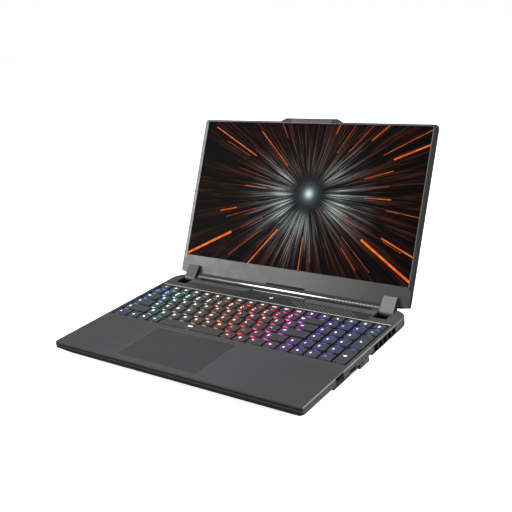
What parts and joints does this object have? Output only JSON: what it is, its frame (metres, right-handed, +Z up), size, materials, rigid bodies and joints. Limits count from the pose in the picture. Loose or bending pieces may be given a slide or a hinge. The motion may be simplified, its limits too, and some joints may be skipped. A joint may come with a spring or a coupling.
{
  "type": "laptop computer",
  "caption": "Dark grey laptop with its lid open: backlit keyboard with number pad, offset touchpad, side sockets and vents, capped hinges, and a light bar along the rear of the base.",
  "frame": {"origin": "middle of the base footprint's width and depth, on the table plane under the rubber feet", "axes": "+X to the user's right, +Y towards the rear, +Z up"},
  "size_m": [0.358, 0.342, 0.2233],
  "materials": {
    "case_aluminium": "matte anodised dark grey",
    "case_plastic": "matte dark grey",
    "black_plastic": "matte",
    "strip_gloss": "satin with diagonal lines",
    "ribbed": "fine ribs",
    "rubber": "matte",
    "light": "diffuser",
    "steel": "satin",
    "screw": "blackened",
    "key": "soft touch",
    "touchpad": "etched matte",
    "hinge_cap": "satin grey",
    "lid_cover": "matte anodised",
    "bezel": "fine texture",
    "screen": "matte display",
    "board": "circuit board",
    "chip": "semi gloss",
    "copper": "copper",
    "fin": "thin fins",
    "cell": "wrapped cells"
  },
  "bodies": {
    "base": {"top_case": "case_aluminium", "bottom_cover": "case_plastic", "bottom_cover_screws": "screw", "rubber_feet": "rubber", "control_panel_strip": "strip_gloss", "ribbed_strips": "ribbed", "rear_light_bar": "light", "keyboard_plate": "steel", "touchpad_bracket": "steel", "motherboard": "board", "processor_and_graphics_chips": "chip", "heat_pipes_and_cold_plate": "copper", "exhaust_fin_stacks": "fin", "fan_housing_left": "black_plastic", "fan_housing_right": "black_plastic", "battery_pack": "cell", "memory_modules": "board", "solid_state_drive": "board", "wireless_card": "board", "speaker_left": "black_plastic", "speaker_right": "black_plastic", "network_port": "black_plastic", "usb_a_port_right": "steel", "usb_a_port_left": "steel", "usb_c_port": "steel", "video_port": "steel", "audio_jack": "black_plastic", "power_inlet": "black_plastic", "hinge_base_bracket_left": "steel", "hinge_base_bracket_right": "steel"},
    "lid": {"lid_back_cover": "lid_cover", "screen_bezel": "bezel", "display_panel": "screen", "webcam_module": "chip", "lid_bumper": "rubber", "hinge_lid_bracket_left": "steel", "hinge_lid_bracket_right": "steel", "hinge_cap_left": "hinge_cap", "hinge_cap_right": "hinge_cap"},
    "touchpad": {"touchpad": "touchpad"},
    "power_button": {"power_button": "strip_gloss"},
    "network_port_jaw": {"network_port_jaw": "black_plastic"},
    "fan_rotor_left": {"fan_rotor_left": "black_plastic"},
    "fan_rotor_right": {"fan_rotor_right": "black_plastic"},
    "function_row_keys": {"function_row_keys": "key"},
    "number_row_keys": {"number_row_keys": "key"},
    "backspace_key": {"backspace_key": "key"},
    "upper_letter_keys": {"upper_letter_keys": "key"},
    "home_letter_keys": {"home_letter_keys": "key"},
    "enter_key": {"enter_key": "key"},
    "left_shift_key": {"left_shift_key": "key"},
    "lower_letter_keys": {"lower_letter_keys": "key"},
    "right_shift_key": {"right_shift_key": "key"},
    "bottom_row_keys": {"bottom_row_keys": "key"},
    "space_bar": {"space_bar": "key"},
    "arrow_keys": {"arrow_keys": "key"},
    "number_pad_keys": {"number_pad_keys": "key"},
    "number_pad_plus_key": {"number_pad_plus_key": "key"},
    "number_pad_enter_key": {"number_pad_enter_key": "key"}
  },
  "joints": [
    {"name": "lid_hinge", "type": "hinge", "parent": "base", "child": "lid", "pos_m": [0, 0.1089, 0.0162], "axis": [-1, 0, 0], "range_deg": [-116.5, 13.5]},
    {"name": "touchpad_click", "type": "hinge", "parent": "base", "child": "touchpad", "pos_m": [-0.0223, -0.0396, 0.0172], "axis": [1, 0, 0], "range_deg": [0, 0.35], "stiffness_Nm_per_rad": 4},
    {"name": "power_button_press", "type": "slide", "parent": "base", "child": "power_button", "axis": [0, 0, -1], "range_m": [0, 0.0005], "stiffness_N_per_m": 400},
    {"name": "network_port_jaw_hinge", "type": "hinge", "parent": "base", "child": "network_port_jaw", "pos_m": [0.17735, -0.0505, 0.0104], "axis": [0, 1, 0], "range_deg": [0, 35], "stiffness_Nm_per_rad": 0.002},
    {"name": "fan_spin_left", "type": "hinge", "parent": "base", "child": "fan_rotor_left", "pos_m": [-0.112, 0.04, 0.0082], "axis": [0, 0, 1], "continuous": true},
    {"name": "fan_spin_right", "type": "hinge", "parent": "base", "child": "fan_rotor_right", "pos_m": [0.112, 0.04, 0.0082], "axis": [0, 0, 1], "continuous": true},
    {"name": "function_row_keys_press", "type": "slide", "parent": "base", "child": "function_row_keys", "axis": [0, 0, -1], "range_m": [0, 0.0015], "stiffness_N_per_m": 400},
    {"name": "number_row_keys_press", "type": "slide", "parent": "base", "child": "number_row_keys", "axis": [0, 0, -1], "range_m": [0, 0.0015], "stiffness_N_per_m": 400},
    {"name": "backspace_key_press", "type": "slide", "parent": "base", "child": "backspace_key", "axis": [0, 0, -1], "range_m": [0, 0.0015], "stiffness_N_per_m": 400},
    {"name": "upper_letter_keys_press", "type": "slide", "parent": "base", "child": "upper_letter_keys", "axis": [0, 0, -1], "range_m": [0, 0.0015], "stiffness_N_per_m": 400},
    {"name": "home_letter_keys_press", "type": "slide", "parent": "base", "child": "home_letter_keys", "axis": [0, 0, -1], "range_m": [0, 0.0015], "stiffness_N_per_m": 400},
    {"name": "enter_key_press", "type": "slide", "parent": "base", "child": "enter_key", "axis": [0, 0, -1], "range_m": [0, 0.0015], "stiffness_N_per_m": 400},
    {"name": "left_shift_key_press", "type": "slide", "parent": "base", "child": "left_shift_key", "axis": [0, 0, -1], "range_m": [0, 0.0015], "stiffness_N_per_m": 400},
    {"name": "lower_letter_keys_press", "type": "slide", "parent": "base", "child": "lower_letter_keys", "axis": [0, 0, -1], "range_m": [0, 0.0015], "stiffness_N_per_m": 400},
    {"name": "right_shift_key_press", "type": "slide", "parent": "base", "child": "right_shift_key", "axis": [0, 0, -1], "range_m": [0, 0.0015], "stiffness_N_per_m": 400},
    {"name": "bottom_row_keys_press", "type": "slide", "parent": "base", "child": "bottom_row_keys", "axis": [0, 0, -1], "range_m": [0, 0.0015], "stiffness_N_per_m": 400},
    {"name": "space_bar_press", "type": "slide", "parent": "base", "child": "space_bar", "axis": [0, 0, -1], "range_m": [0, 0.0015], "stiffness_N_per_m": 400},
    {"name": "arrow_keys_press", "type": "slide", "parent": "base", "child": "arrow_keys", "axis": [0, 0, -1], "range_m": [0, 0.0015], "stiffness_N_per_m": 400},
    {"name": "number_pad_keys_press", "type": "slide", "parent": "base", "child": "number_pad_keys", "axis": [0, 0, -1], "range_m": [0, 0.0015], "stiffness_N_per_m": 400},
    {"name": "number_pad_plus_key_press", "type": "slide", "parent": "base", "child": "number_pad_plus_key", "axis": [0, 0, -1], "range_m": [0, 0.0015], "stiffness_N_per_m": 400},
    {"name": "number_pad_enter_key_press", "type": "slide", "parent": "base", "child": "number_pad_enter_key", "axis": [0, 0, -1], "range_m": [0, 0.0015], "stiffness_N_per_m": 400}
  ]
}
